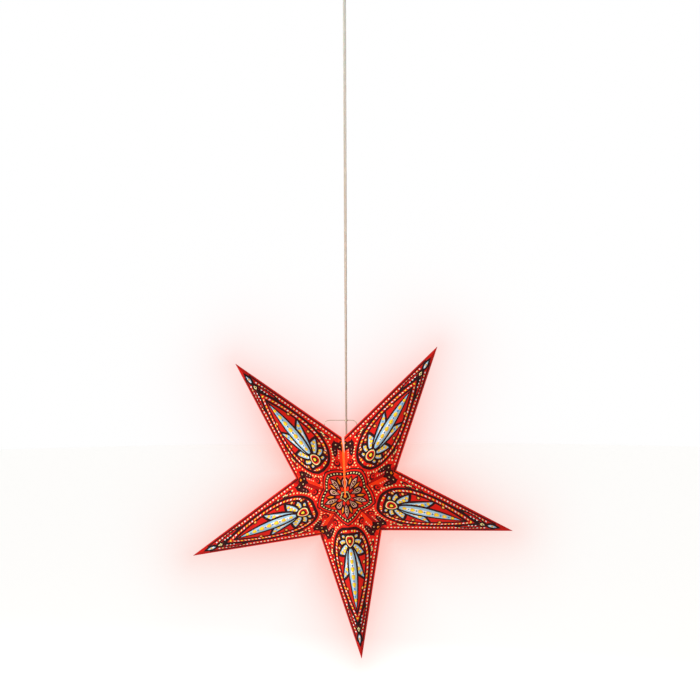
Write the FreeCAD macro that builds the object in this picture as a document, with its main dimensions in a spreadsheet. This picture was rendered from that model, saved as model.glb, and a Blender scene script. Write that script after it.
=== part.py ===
# A lit five-pointed paper star that hangs on a flat twin flex from a ceiling rose.
# Millimetres, +Z up, front of the star towards -Y. The origin is the centre of the
# ceiling face of the rose, on the axis of the flex.
import FreeCAD, Part
import math
import os
import re
import Sketcher

SIZES = (
    ("tip_radius", 315.5, "centre of the star to the tip of a point"),
    ("notch_radius", 98.4, "centre of the star to a notch between two points"),
    ("half_depth", 90, "mid plane of the star to its front apex, and to its back one"),
    ("paper", 0.5, "thickness of the folded paper"),
    ("tip_blunt", 1, "cut off each tip, where the folds stop"),
    ("tab_width", 11, "glue tab, from the valley inwards"),
    ("seam_gap", 1, "open seam between the two upper points, at the centre of the star"),
    ("seam_spread", 2.2, "angle by which that seam widens towards the notch, in degrees"),
    ("hang_angle", 4.6, "turn of the star about its depth, as it hangs, in degrees"),
    ("star_shift", 1.9, "flex axis to the centre of the star, sideways"),
    ("star_behind", -5, "flex axis to the mid plane of the star, backwards"),
    ("star_drop", 980, "ceiling to the centre of the star"),
    ("flex_width", 6, "flat twin flex, long side of its section"),
    ("flex_thickness", 3.6, "flat twin flex, short side of its section"),
    ("cord_hole_radius", 6.5, "round hole in the paper, where the flex goes in"),
    ("cord_hole_shift", 2, "flex axis to the centre of that hole, towards the seam"),
    ("cord_hole_behind", 2.5, "flex axis to the centre of that hole, backwards"),
    ("wire", 1.2, "diameter of the hanger wire"),
    ("wire_left", 41, "flex axis to the left leg of the hanger"),
    ("wire_right", 20, "flex axis to the right leg of the hanger"),
    ("wire_bend", 9, "bend between a leg and the bow of the hanger"),
    ("wire_leg", 7, "part of a leg that is inside the star"),
    ("eye_height", 31.4, "notch to the eye of the hanger"),
    ("eye_turns", 2, "turns of wire round the flex"),
    ("thread", 1.2, "diameter of the cotton of a seam tie"),
    ("tie_ring", 5, "radius of a seam tie"),
    ("running_gap", 0.3, "clearance of a loose fit"),
    ("holder_height", 58, "centre of the star up to the top of the lampholder cap"),
    ("holder_radius", 14, "outside of the lampholder"),
    ("holder_wall", 1.8, "wall of the lampholder"),
    ("holder_round", 3, "rounding of the upper edge of the lampholder"),
    ("grip_radius", 4.8, "stem of the cord grip of the lampholder"),
    ("grip_nose", 12, "that cord grip, where it stands out"),
    ("rose_grip_radius", 6.5, "stem of the cord grip of the rose"),
    ("rose_grip_nose", 20, "that cord grip, where it stands out"),
    ("flange", 2.5, "height and overhang of the flange of a cord grip"),
    ("nose_taper", 0.9, "how much thinner a cord grip is at its end"),
    ("bore_gap", 0.2, "flex to the bore of a cord grip"),
    ("cap_length", 20, "cap of the lampholder"),
    ("shell_length", 32, "shell of the lampholder below its cap"),
    ("neck_length", 7, "neck of the shell, inside the cap"),
    ("insert_flange", 2, "flange of the insulating insert"),
    ("insert_length", 12, "insulating insert below its flange"),
    ("screw_radius", 7.6, "outside of the brass screw shell"),
    ("screw_length", 22, "length of the brass screw shell"),
    ("brass", 0.5, "thickness of the brass sheet"),
    ("contact_radius", 2.5, "centre contact"),
    ("contact_height", 2, "centre contact, and the tip of the bulb's cap"),
    ("thread_gap", 0.5, "screw shell to the cap of the bulb"),
    ("bulb_radius", 22.5, "glass ball of the bulb"),
    ("bulb_drop", 28, "rim of the lampholder to the centre of the glass ball"),
    ("bulb_neck", 10, "rim of the lampholder to the end of the bulb's neck"),
    ("rose_radius", 45, "outside of the rose cover"),
    ("rose_height", 32, "ceiling to the bottom of the rose cover"),
    ("rose_wall", 2, "wall of the rose cover"),
    ("rose_round", 12, "rounding of the lower edge of the rose cover"),
    ("ceiling_gap", 0.5, "rim of the rose cover to the ceiling"),
    ("base_plate", 3, "plate of the rose base"),
    ("base_rim", 9, "height of the rim of the rose base"),
    ("rim_wall", 4, "thickness of that rim"),
    ("fixing_spacing", 51, "spacing of the two ceiling screws"),
    ("fixing_radius", 2.2, "hole for a ceiling screw"),
    ("entry_radius", 8, "hole for the house cable"),
    ("block_length", 22, "terminal block, along X"),
    ("block_width", 14, "terminal block, along Y"),
    ("block_height", 12, "terminal block, upright"),
    ("lug", 8, "lug at each end of the terminal block"),
    ("lug_height", 2, "thickness of those lugs"),
    ("post_length", 5, "posts that carry the terminal block"),
    ("post_radius", 3.5, "radius of those posts"),
    ("pole_spacing", 10, "spacing of the two terminals of the block"),
    ("screw_thread", 1.5, "thread radius of the small screws"),
    ("screw_head", 2.8, "head radius of the small screws"),
    ("head_height", 1.8, "head height of the small screws"),
    ("screw_reach", 5, "thread length of the small screws"),
)

# What follows from the sizes. A facet is one flat side of a folded point. Its slope is
# the rise in depth for each millimetre inwards from the fold at the outline of the star.
# The open seam takes its spread from the full turn, and the ten half points share the
# rest. A heading is the direction of a point's axis, from +X towards +Z.
DERIVED = (
    ("hang", "=hang_angle * 1 deg"),
    ("spread", "=seam_spread * 1 deg"),
    ("wedge", "=(360 deg - spread) / 10"),
    ("bottom_heading", "=270 deg + hang"),
    ("left_heading", "=bottom_heading - 2 * wedge"),
    ("right_heading", "=bottom_heading + 2 * wedge"),
    ("upper_left_heading", "=left_heading - 2 * wedge"),
    ("upper_right_heading", "=right_heading + 2 * wedge - 360 deg"),
    ("fold_angle", "=atan2(notch_radius * sin(wedge); tip_radius - notch_radius * cos(wedge))"),
    ("facet_slope", "=half_depth / (tip_radius * sin(fold_angle))"),
    ("tip_inset", "=paper * sqrt(1 + facet_slope ^ 2) / (facet_slope * sin(fold_angle))"),
    ("valley_rate", "=sqrt(1 / notch_radius ^ 2 + 1 / half_depth ^ 2)"),
    ("seam_growth", "=(cos(wedge) / tan(fold_angle) - sin(wedge)) / tip_radius"),
    ("seam_middle", "=seam_gap / 2 + notch_radius / 2 * tan(spread / 2)"),
    ("tie_depth", "=tab_width - sqrt(tie_ring ^ 2 - (seam_middle + paper / 2) ^ 2)"),
    ("notch_z", "=notch_radius * cos(hang)"),
    ("left_notch_x", "=star_shift - notch_radius * sin(hang + spread / 2)"),
    ("left_notch_z", "=notch_radius * cos(hang + spread / 2)"),
    ("right_notch_x", "=star_shift - notch_radius * sin(hang - spread / 2)"),
    ("right_notch_z", "=notch_radius * cos(hang - spread / 2)"),
    ("eye_z", "=notch_z + eye_height"),
    ("eye_x", "=flex_thickness / 2 + running_gap + wire / 2"),
    ("left_fold", "=upper_left_heading + fold_angle"),
    ("right_fold", "=upper_right_heading - fold_angle"),
    ("left_entry", "=left_notch_z - (wire_left + left_notch_x) * tan(left_fold)"
        " - star_behind / facet_slope / cos(left_fold)"),
    ("right_entry", "=right_notch_z + (wire_right - right_notch_x) * tan(right_fold)"
        " + star_behind / facet_slope / cos(right_fold)"),
    ("holder_top", "=holder_height - star_drop"),
    ("holder_rim", "=-cap_length - shell_length"),
    ("neck_top", "=neck_length - cap_length"),
    ("neck_outer", "=holder_radius - holder_wall - running_gap"),
    ("neck_bore", "=neck_outer - holder_wall"),
    ("insert_top", "=neck_top + insert_flange"),
    ("insert_bottom", "=neck_top - insert_length"),
    ("cap_radius", "=screw_radius - brass - thread_gap"),
    ("pole_x", "=(holder_radius + flex_thickness / 2) / 2 - running_gap"),
    ("base_radius", "=rose_radius - rose_wall - running_gap"),
    ("post_x", "=(block_length + lug) / 2"),
    ("post_bottom", "=-base_plate - post_length"),
    ("block_bottom", "=post_bottom - block_height"),
    ("side_screw_z", "=-(base_plate + base_rim) / 2"),
    ("flex_top", "=block_bottom - running_gap"),
    ("flex_bottom", "=holder_top + insert_top + running_gap"),
)

SAME = 0.01  # mm, the most by which two places or radii of one edge may differ
CELLS = [name for name, *rest in SIZES] + [name for name, *rest in DERIVED]
CELL = re.compile(r"\b(" + "|".join(CELLS) + r")\b")

doc = FreeCAD.newDocument("paper_star")
sheet = doc.addObject("Spreadsheet::Sheet", "Sizes")


def fill_sheet():
    for row, (name, size, meaning) in enumerate(SIZES, start=1):
        sheet.set(f"A{row}", name)
        sheet.set(f"B{row}", str(size))
        sheet.setAlias(f"B{row}", name)
        sheet.set(f"C{row}", meaning)
    for row, (name, text) in enumerate(DERIVED, start=1):
        sheet.set(f"E{row}", name)
        sheet.set(f"F{row}", text)
        sheet.setAlias(f"F{row}", name)
    doc.recompute()


def formula(text):
    """An expression in which each word of the sheet is a cell of it."""
    return CELL.sub(r"Sizes.\1", text)


def bind(thing, **settings):
    """Ties properties to expressions. A double underscore stands for a dot."""
    for name, text in settings.items():
        thing.setExpression("." + name.replace("__", "."), formula(text))


def number(text):
    value = sheet.evalExpression(text)
    return float(getattr(value, "Value", value))


def new_body(label):
    body = doc.addObject("PartDesign::Body", label)
    body.Label = label
    return body


def new_sketch(body, name, role):
    """A sketch on one of the body's own origin planes."""
    sketch = body.newObject("Sketcher::SketchObject", name)
    plane = next(part for part in body.Origin.OriginFeatures if part.Role == role)
    sketch.AttachmentSupport = [(plane, "")]
    sketch.MapMode = "FlatFace"
    return sketch


def turn_sketch(sketch, axis, angle, **base):
    """Turns a sketch about an axis through its origin, and moves that origin."""
    sketch.AttachmentOffset = FreeCAD.Placement(
        FreeCAD.Vector(), FreeCAD.Rotation(FreeCAD.Vector(*axis), 1)
    )
    bind(sketch, AttachmentOffset__Rotation__Angle=angle)
    for name, text in base.items():
        bind(sketch, **{"AttachmentOffset__Base__" + name: text})


def fix_point(sketch, edge, end, x, y):
    """Places one end of an edge, or the centre of a circle, by two expressions."""
    for kind, axis, text in (("DistanceX", -2, x), ("DistanceY", -1, y)):
        if text == "0":
            sketch.addConstraint(Sketcher.Constraint("PointOnObject", edge, end, axis))
        else:
            rule = Sketcher.Constraint(kind, -1, 1, edge, end, number(text))
            index = sketch.addConstraint(rule)
            sketch.setExpression(f"Constraints[{index}]", formula(text))


def fix_radius(sketch, edge, text):
    index = sketch.addConstraint(Sketcher.Constraint("Radius", edge, number(text)))
    sketch.setExpression(f"Constraints[{index}]", formula(text))


def draw_polygon(sketch, corners):
    first = sketch.GeometryCount
    places = [FreeCAD.Vector(number(x), number(y), 0) for x, y in corners]
    for start, end in zip(places, places[1:] + places[:1]):
        sketch.addGeometry(Part.LineSegment(start, end))
    for side, (x, y) in enumerate(corners):
        following = first + (side + 1) % len(corners)
        sketch.addConstraint(Sketcher.Constraint("Coincident", first + side, 2, following, 1))
        fix_point(sketch, first + side, 1, x, y)


def draw_circle(sketch, x, y, radius):
    centre = FreeCAD.Vector(number(x), number(y), 0)
    circle = Part.Circle(centre, FreeCAD.Vector(0, 0, 1), number(radius))
    edge = sketch.addGeometry(circle)
    fix_point(sketch, edge, 3, x, y)
    fix_radius(sketch, edge, radius)


def draw_slot(sketch, length, width):
    """A slot along the sketch's own Y, about its origin."""
    reach = f"({length} - ({width})) / 2"
    half = f"({width}) / 2"
    side = number(half)
    top = number(reach)
    ends = []
    for height, start, stop in ((top, 0, 180), (-top, 180, 360)):
        circle = Part.Circle(FreeCAD.Vector(0, height, 0), FreeCAD.Vector(0, 0, 1), side)
        ends.append(sketch.addGeometry(
            Part.ArcOfCircle(circle, math.radians(start), math.radians(stop))
        ))
    upper, lower = ends
    left = sketch.addGeometry(
        Part.LineSegment(FreeCAD.Vector(-side, top, 0), FreeCAD.Vector(-side, -top, 0))
    )
    right = sketch.addGeometry(
        Part.LineSegment(FreeCAD.Vector(side, -top, 0), FreeCAD.Vector(side, top, 0))
    )
    for arc, line in ((upper, left), (lower, right), (lower, left), (upper, right)):
        arc_end = 2 if (arc, line) in ((upper, left), (lower, right)) else 1
        line_end = 1 if (arc, line) in ((upper, left), (lower, right)) else 2
        sketch.addConstraint(Sketcher.Constraint("Tangent", arc, arc_end, line, line_end))
    fix_point(sketch, upper, 3, "0", reach)
    fix_point(sketch, lower, 3, "0", f"-({reach})")
    fix_radius(sketch, upper, half)


def add_pad(body, sketch, length, symmetric=False):
    pad = body.newObject("PartDesign::Pad", sketch.Name + "_pad")
    pad.Profile = sketch
    pad.SideType = "Symmetric" if symmetric else "One side"
    bind(pad, Length=length)
    doc.recompute()
    return pad


def add_pocket(body, sketch, length=None, symmetric=False, reverse=False):
    """Cuts a sketch out of the body, all the way where no length is given."""
    before = body.Shape.Volume
    pocket = body.newObject("PartDesign::Pocket", sketch.Name + "_cut")
    pocket.Profile = sketch
    pocket.SideType = "Symmetric" if symmetric else "One side"
    pocket.Reversed = reverse
    if length:
        bind(pocket, Length=length)
    else:
        pocket.Type = "ThroughAll"
    doc.recompute()
    if not pocket.Shape.Volume < before:
        raise SystemExit(f"{body.Label}: {pocket.Name} cuts nothing")


def add_turning(body, corners):
    """Turns a closed outline of radius and height about the body's Z axis."""
    sketch = new_sketch(body, body.Label + "_outline", "XZ_Plane")
    draw_polygon(sketch, corners)
    turned = body.newObject("PartDesign::Revolution", body.Label + "_turned")
    turned.Profile = sketch
    turned.ReferenceAxis = (sketch, ["V_Axis"])
    doc.recompute()
    return turned


def round_edge(body, radius, edge_radius, height):
    """Rounds the full circles that have this radius at this height."""
    solid = body.Tip
    names = []
    for index, edge in enumerate(solid.Shape.Edges, start=1):
        if not isinstance(edge.Curve, Part.Circle):
            continue
        level = edge.BoundBox.Center.z
        apart = (edge.Curve.Radius - number(edge_radius), level - number(height))
        if max(map(abs, apart)) < SAME:
            names.append(f"Edge{index}")
    fillet = body.newObject("PartDesign::Fillet", f"{body.Label}_round_{len(body.Group)}")
    fillet.Base = (solid, names)
    bind(fillet, Radius=radius)
    doc.recompute()


# One folded point. X runs from the centre of the star to the tip, Y is the depth and Z
# lies across. Two valleys bound it, and four facets rise from its outer folds to a
# ridge in front and a ridge behind.
def fill_point(body, inset, plus_gap, minus_gap):
    """The space inside the folds: the wedge between two valleys, cut to four facets."""
    plus = f"({plus_gap} + {inset})"
    minus = f"({minus_gap} + {inset})"
    hub_x = f"({plus} + {minus}) / (2 * sin(wedge))"
    hub_z = f"{hub_x} * tan(wedge) - {plus} / cos(wedge)"
    far = "tip_radius - tip_blunt"
    wedge = new_sketch(body, body.Label + "_wedge", "XZ_Plane")
    draw_polygon(wedge, (
        (hub_x, hub_z),
        (far, f"({far}) * tan(wedge) - {plus} / cos(wedge)"),
        (far, f"-({far}) * tan(wedge) + {minus} / cos(wedge)"),
    ))
    add_pad(body, wedge, "2 * half_depth + tab_width", symmetric=True)
    tip = "tip_radius" if inset == "0" else "tip_radius - tip_inset"
    clear = "(half_depth + tab_width)"
    for side, inward, outward in (("plus", "-", ""), ("minus", "", "-")):
        facets = new_sketch(body, f"{body.Label}_facets_{side}", "YZ_Plane")
        turn_sketch(facets, (1, 0, 0), f"{outward}fold_angle", z=tip)
        slope = f"{inward}{clear} / facet_slope"
        beyond = f"{outward}tip_radius"
        draw_polygon(facets, (
            ("0", "0"), (clear, slope), (clear, beyond),
            (f"-{clear}", beyond), (f"-{clear}", slope),
        ))
        add_pocket(body, facets, symmetric=True)


def cut_valley(body, side, gap, tie):
    """Opens a valley wall inside its glue tabs, and punches the holes of the seam ties."""
    name, angle, normal = (
        ("plus", "-wedge", "") if side > 0 else ("minus", "wedge", "-")
    )
    opening = new_sketch(body, f"{body.Label}_opening_{name}", "XY_Plane")
    turn_sketch(
        opening, (0, 1, 0), angle,
        x=f"{gap} * sin(wedge)",
        z=f"-({normal}{gap}) * cos(wedge)",
    )
    share = f"(1 + {gap} * seam_growth - tab_width * valley_rate)"
    height = f"half_depth * ({share} + paper / notch_radius)"
    draw_polygon(opening, (
        ("-paper", f"-{height}"),
        (f"notch_radius * {share}", "0"),
        ("-paper", height),
    ))
    if tie:
        across = "notch_radius / 2 - tie_depth / (notch_radius * valley_rate)"
        along = "half_depth / 2 - tie_depth / (half_depth * valley_rate)"
        for front in ("", "-"):
            draw_circle(opening, across, f"{front}({along})", "thread / 2 + running_gap")
    add_pocket(body, opening, "4 * paper", reverse=side < 0)


def cut_upright(body, name, angle, level, x, y, radius):
    """Cuts an upright round hole from a level upwards. X and Y are as the star hangs."""
    hole = new_sketch(body, f"{body.Label}_{name}", "XY_Plane")
    turn_sketch(hole, (0, 1, 0), angle, x=f"({level}) * sin({angle})", z=f"({level}) * cos({angle})")
    draw_circle(hole, x, y, radius)
    add_pocket(body, hole, reverse=True)


def make_point(label, heading, plus_open=False, minus_open=False):
    """A point whose axis stands at this heading, with an open seam on one side or none."""
    gaps = ["seam_gap / 2" if is_open else "0" for is_open in (plus_open, minus_open)]
    body = new_body(label)
    fill_point(body, "0", *gaps)
    hollow = new_body(label + "_hollow")
    fill_point(hollow, "paper", *gaps)
    fold = body.newObject("PartDesign::Boolean", label + "_fold")
    fold.Type = "Cut"
    fold.setObjects([hollow])
    doc.recompute()
    cut_valley(body, 1, gaps[0], plus_open)
    cut_valley(body, -1, gaps[1], minus_open)
    if plus_open or minus_open:
        cut_upright(
            body, "cord_hole", heading, "notch_radius / 2",
            "-star_shift - cord_hole_shift", "cord_hole_behind - star_behind", "cord_hole_radius",
        )
        leg = "wire_right" if plus_open else "-wire_left"
        entry = "right_entry" if plus_open else "left_entry"
        cut_upright(
            body, "wire_hole", heading, f"{entry} - wire_leg",
            f"{leg} - star_shift", "-star_behind", "wire / 2 + running_gap",
        )
    body.Placement = FreeCAD.Placement(
        FreeCAD.Vector(), FreeCAD.Rotation(FreeCAD.Vector(0, -1, 0), 1)
    )
    place_in_star(body, heading)
    return body


def place_in_star(body, angle):
    bind(
        body,
        Placement__Base__x="star_shift",
        Placement__Base__y="star_behind",
        Placement__Base__z="-star_drop",
        Placement__Rotation__Angle=angle,
    )


def make_points():
    return [
        make_point("point_upper_right", "upper_right_heading", plus_open=True),
        make_point("point_upper_left", "upper_left_heading", minus_open=True),
        make_point("point_left", "left_heading"),
        make_point("point_bottom", "bottom_heading"),
        make_point("point_right", "right_heading"),
    ]


def make_seam_tie(label, front):
    """A cotton ring through both tabs of the open seam, half way down the valley."""
    body = new_body(label)
    body.Placement = FreeCAD.Placement(
        FreeCAD.Vector(), FreeCAD.Rotation(FreeCAD.Vector(0, -1, 0), 1)
    )
    place_in_star(body, "hang")
    sign = "-" if front else ""

    def at_depth(depth, along):
        y = f"{sign}(half_depth / 2 * (1 + {along}) - ({depth}) / (half_depth * valley_rate))"
        z = f"notch_radius / 2 * (1 - {along}) - ({depth}) / (notch_radius * valley_rate)"
        return y, z

    sketch = new_sketch(body, label + "_section", "YZ_Plane")
    draw_circle(sketch, *at_depth("tab_width - tie_ring", "0"), "thread / 2")
    ends = [at_depth("tab_width", along) for along in ("0", "1 / 5")]
    places = [FreeCAD.Vector(number(y), number(z), 0) for y, z in ends]
    axis = sketch.addGeometry(Part.LineSegment(*places), True)
    for end, (y, z) in enumerate(ends, start=1):
        fix_point(sketch, axis, end, y, z)
    ring = body.newObject("PartDesign::Revolution", label + "_ring")
    ring.Profile = sketch
    ring.ReferenceAxis = (sketch, ["Axis0"])
    doc.recompute()
    return body


def make_hanger_wire():
    """A bow with an eye round the flex, and two legs that enter the upper points."""
    body = new_body("hanger_wire")
    bind(body, Placement__Base__z="-star_drop")
    bend = number("wire_bend")
    top = number("eye_z")
    quarter = math.radians(90)
    for name, sign, reach, entry in (
        ("left", "-", "wire_left", "left_entry"),
        ("right", "", "wire_right", "right_entry"),
    ):
        side = -1 if sign else 1
        foot = f"{entry} - wire_leg"
        outside = side * number(reach)
        middle = outside - side * bend
        spine = new_sketch(body, f"bow_{name}", "XZ_Plane")
        leg = spine.addGeometry(Part.LineSegment(
            FreeCAD.Vector(outside, number(foot), 0), FreeCAD.Vector(outside, top - bend, 0)
        ))
        circle = Part.Circle(FreeCAD.Vector(middle, top - bend, 0), FreeCAD.Vector(0, 0, 1), bend)
        start = 0 if side > 0 else quarter
        arc = spine.addGeometry(Part.ArcOfCircle(circle, start, start + quarter))
        bow = spine.addGeometry(Part.LineSegment(
            FreeCAD.Vector(middle, top, 0), FreeCAD.Vector(side * number("eye_x"), top, 0)
        ))
        low, high = (1, 2) if side > 0 else (2, 1)
        for rule in (
            ("Tangent", leg, 2, arc, low), ("Tangent", arc, high, bow, 1),
            ("Vertical", leg), ("Horizontal", bow),
        ):
            spine.addConstraint(Sketcher.Constraint(*rule))
        fix_radius(spine, arc, "wire_bend")
        fix_point(spine, leg, 1, sign + reach, foot)
        fix_point(spine, bow, 2, sign + "eye_x", "eye_z")
        section = new_sketch(body, f"bow_{name}_section", "XY_Plane")
        bind(section, AttachmentOffset__Base__z=foot)
        draw_circle(section, sign + reach, "0", "wire / 2")
        pipe = body.newObject("PartDesign::AdditivePipe", f"bow_{name}_pipe")
        pipe.Profile = section
        pipe.Spine = spine
        doc.recompute()
    eye = new_sketch(body, "eye", "XY_Plane")
    bind(eye, AttachmentOffset__Base__z="eye_z - eye_turns * wire / 2")
    for extra in ("2 * running_gap", "2 * (running_gap + wire)"):
        draw_slot(eye, f"flex_width + {extra}", f"flex_thickness + {extra}")
    add_pad(body, eye, "eye_turns * wire")
    return body


def make_flex():
    """The flex hangs straight, so it is one straight run."""
    body = new_body("flex")
    bind(body, Placement__Base__z="flex_bottom")
    section = new_sketch(body, "flex_section", "XY_Plane")
    draw_slot(section, "flex_width", "flex_thickness")
    add_pad(body, section, "flex_top - flex_bottom")
    length = number("flex_top") - number("flex_bottom")
    area = body.Shape.Volume / length
    flat = number("flex_width") - number("flex_thickness")
    round_part = Part.Face(Part.Wire(Part.makeCircle(number("flex_thickness") / 2))).Area
    stated = flat * number("flex_thickness") + round_part
    print(f"flex: one straight run of {length:.1f} mm and no arcs")
    print(f"flex: volume over length {area:.3f} mm2, section {stated:.3f} mm2")
    return body


def make_cord_grip(label, stem, wall, nose, mount):
    """A moulded grip: a flange behind the wall, a stem through it and a tapered nose."""
    body = new_body(label)
    add_turning(body, (
        ("0", f"-{wall} - flange"),
        (f"{stem} + flange", f"-{wall} - flange"),
        (f"{stem} + flange", f"-{wall}"),
        (stem, f"-{wall}"),
        (stem, "flange"),
        (f"{stem} - nose_taper", nose),
        ("0", nose),
    ))
    bore = new_sketch(body, label + "_bore", "XY_Plane")
    draw_slot(bore, "flex_width + 2 * bore_gap", "flex_thickness + 2 * bore_gap")
    add_pocket(body, bore, symmetric=True)
    bind(body, Placement__Base__z=mount)
    return body


def make_lampholder():
    """The cap, the shell, the insert and its brass, all on the axis of the flex."""
    cap = new_body("lampholder_cap")
    add_turning(cap, (
        ("grip_radius + running_gap", "0"),
        ("holder_radius", "0"),
        ("holder_radius", "-cap_length"),
        ("holder_radius - holder_wall", "-cap_length"),
        ("holder_radius - holder_wall", "-holder_wall"),
        ("grip_radius + running_gap", "-holder_wall"),
    ))
    round_edge(cap, "holder_round", "holder_radius", "0")
    shell = new_body("lampholder_shell")
    add_turning(shell, (
        ("neck_bore", "neck_top"),
        ("neck_outer", "neck_top"),
        ("neck_outer", "-cap_length"),
        ("holder_radius", "-cap_length"),
        ("holder_radius", "holder_rim"),
        ("holder_radius - holder_wall", "holder_rim"),
        ("holder_radius - holder_wall", "-cap_length - holder_wall"),
        ("neck_bore", "-cap_length - holder_wall"),
    ))
    insert = new_body("lampholder_insert")
    add_turning(insert, (
        ("0", "insert_top"),
        ("neck_outer", "insert_top"),
        ("neck_outer", "neck_top"),
        ("neck_bore - running_gap", "neck_top"),
        ("neck_bore - running_gap", "insert_bottom"),
        ("0", "insert_bottom"),
    ))
    holes = new_sketch(insert, "terminal_holes", "XY_Plane")
    bind(holes, AttachmentOffset__Base__z="insert_top")
    for sign in ("", "-"):
        draw_circle(holes, sign + "pole_x", "0", "screw_thread + running_gap / 2")
    add_pocket(insert, holes, "screw_reach + running_gap")
    sleeve = new_body("screw_shell")
    add_turning(sleeve, (
        ("screw_radius - brass", "insert_bottom"),
        ("screw_radius", "insert_bottom"),
        ("screw_radius", "insert_bottom - screw_length"),
        ("screw_radius - brass", "insert_bottom - screw_length"),
    ))
    contact = new_body("centre_contact")
    add_turning(contact, (
        ("0", "insert_bottom"),
        ("contact_radius", "insert_bottom"),
        ("contact_radius - brass", "insert_bottom - contact_height"),
        ("0", "insert_bottom - contact_height"),
    ))
    pieces = [cap, shell, insert, sleeve, contact]
    for piece in pieces:
        bind(piece, Placement__Base__z="holder_top")
    return pieces


def add_solid(kind, name, z, **settings):
    solid = doc.addObject("Part::" + kind, name)
    bind(solid, Placement__Base__z=z, **settings)
    return solid


def make_bulb():
    """An opal ball, its neck and its screw cap, closed and in one piece."""
    tip = "holder_top + insert_bottom - contact_height"
    rim = "holder_top + holder_rim"
    cap_end = "(holder_top + insert_bottom - screw_length)"
    neck_end = f"({rim} - bulb_neck)"
    ball = add_solid("Sphere", "bulb_ball", f"{rim} - bulb_drop", Radius="bulb_radius")
    neck = add_solid(
        "Cone", "bulb_neck_cone", neck_end,
        Radius1="sqrt(bulb_radius ^ 2 - (bulb_drop - bulb_neck) ^ 2)",
        Radius2="cap_radius",
        Height=f"{cap_end} - {neck_end}",
    )
    cap = add_solid(
        "Cylinder", "bulb_cap", cap_end,
        Radius="cap_radius", Height=f"{tip} - contact_height - {cap_end}",
    )
    button = add_solid(
        "Cone", "bulb_button", f"{tip} - contact_height",
        Radius1="cap_radius - brass", Radius2="contact_radius - brass", Height="contact_height",
    )
    bulb = doc.addObject("Part::MultiFuse", "bulb")
    bulb.Label = "bulb"
    bulb.Shapes = [ball, neck, cap, button]
    return bulb


def make_screws(label, turns):
    """Small cheese-head screws, each with its seat, heading and turn."""
    pieces = []
    for index, (axis, angle, base) in enumerate(turns):
        for part, radius, height, rise in (
            ("head", "screw_head", "head_height", "0"),
            ("thread", "screw_thread", "screw_reach", "screw_reach"),
        ):
            solid = doc.addObject("Part::Cylinder", f"{label}_{part}_{index}")
            solid.Placement.Rotation = FreeCAD.Rotation(FreeCAD.Vector(*axis), angle)
            back = solid.Placement.Rotation.multVec(FreeCAD.Vector(0, 0, -1))
            bind(solid, Radius=radius, Height=height)
            for name, text, share in zip("xyz", base, back):
                bind(solid, **{f"Placement__Base__{name}": f"{text} + {share:.0f} * ({rise})"})
            pieces.append(solid)
    group = doc.addObject("Part::MultiFuse", label)
    group.Label = label
    group.Shapes = pieces
    return group


def make_rose():
    """The base on the ceiling, the cover over it, and the terminal block inside."""
    base = new_body("rose_base")
    add_turning(base, (
        ("entry_radius", "0"),
        ("base_radius", "0"),
        ("base_radius", "-base_rim"),
        ("base_radius - rim_wall", "-base_rim"),
        ("base_radius - rim_wall", "-base_plate"),
        ("entry_radius", "-base_plate"),
    ))
    posts = new_sketch(base, "posts", "XY_Plane")
    bind(posts, AttachmentOffset__Base__z="post_bottom")
    pilots = new_sketch(base, "post_pilots", "XY_Plane")
    bind(pilots, AttachmentOffset__Base__z="post_bottom")
    fixings = new_sketch(base, "fixing_holes", "XY_Plane")
    for sign in ("", "-"):
        draw_circle(posts, sign + "post_x", "0", "post_radius")
        draw_circle(pilots, sign + "post_x", "0", "screw_thread + running_gap / 2")
        draw_circle(fixings, sign + "fixing_spacing / 2", "0", "fixing_radius")
    add_pad(base, posts, "post_length")
    add_pocket(base, pilots, "post_length", reverse=True)
    add_pocket(base, fixings)
    cover = new_body("rose_cover")
    add_turning(cover, (
        ("rose_radius - rose_wall", "-ceiling_gap"),
        ("rose_radius", "-ceiling_gap"),
        ("rose_radius", "-rose_height"),
        ("rose_grip_radius + running_gap", "-rose_height"),
        ("rose_grip_radius + running_gap", "rose_wall - rose_height"),
        ("rose_radius - rose_wall", "rose_wall - rose_height"),
    ))
    round_edge(cover, "rose_round - rose_wall", "rose_radius - rose_wall", "rose_wall - rose_height")
    round_edge(cover, "rose_round", "rose_radius", "-rose_height")
    for body in (base, cover):
        side_holes = new_sketch(body, body.Label + "_side_holes", "XZ_Plane")
        draw_circle(side_holes, "0", "side_screw_z", "screw_thread + running_gap / 2")
        add_pocket(body, side_holes, symmetric=True)
    return [base, cover]


def make_terminal_block():
    body = new_body("rose_terminal_block")
    for name, length, height in (
        ("block", "block_length", "block_height"),
        ("lugs", "block_length + 2 * lug", "lug_height"),
    ):
        outline = new_sketch(body, name, "XY_Plane")
        bind(outline, AttachmentOffset__Base__z=f"post_bottom - {height}")
        width = "block_width" if name == "block" else "lug"
        draw_polygon(outline, (
            (f"-({length}) / 2", f"-{width} / 2"), (f"({length}) / 2", f"-{width} / 2"),
            (f"({length}) / 2", f"{width} / 2"), (f"-({length}) / 2", f"{width} / 2"),
        ))
        add_pad(body, outline, height)
    lug_holes = new_sketch(body, "lug_holes", "XY_Plane")
    bind(lug_holes, AttachmentOffset__Base__z="post_bottom")
    terminals = new_sketch(body, "terminal_bores", "XZ_Plane")
    bind(terminals, AttachmentOffset__Base__z="block_width / 2")
    for sign in ("", "-"):
        draw_circle(lug_holes, sign + "post_x", "0", "screw_thread + running_gap / 2")
        draw_circle(
            terminals, sign + "pole_spacing / 2", "post_bottom - block_height / 2",
            "screw_thread + running_gap / 2",
        )
    add_pocket(body, lug_holes)
    add_pocket(body, terminals, "screw_reach + running_gap")
    return body


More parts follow.
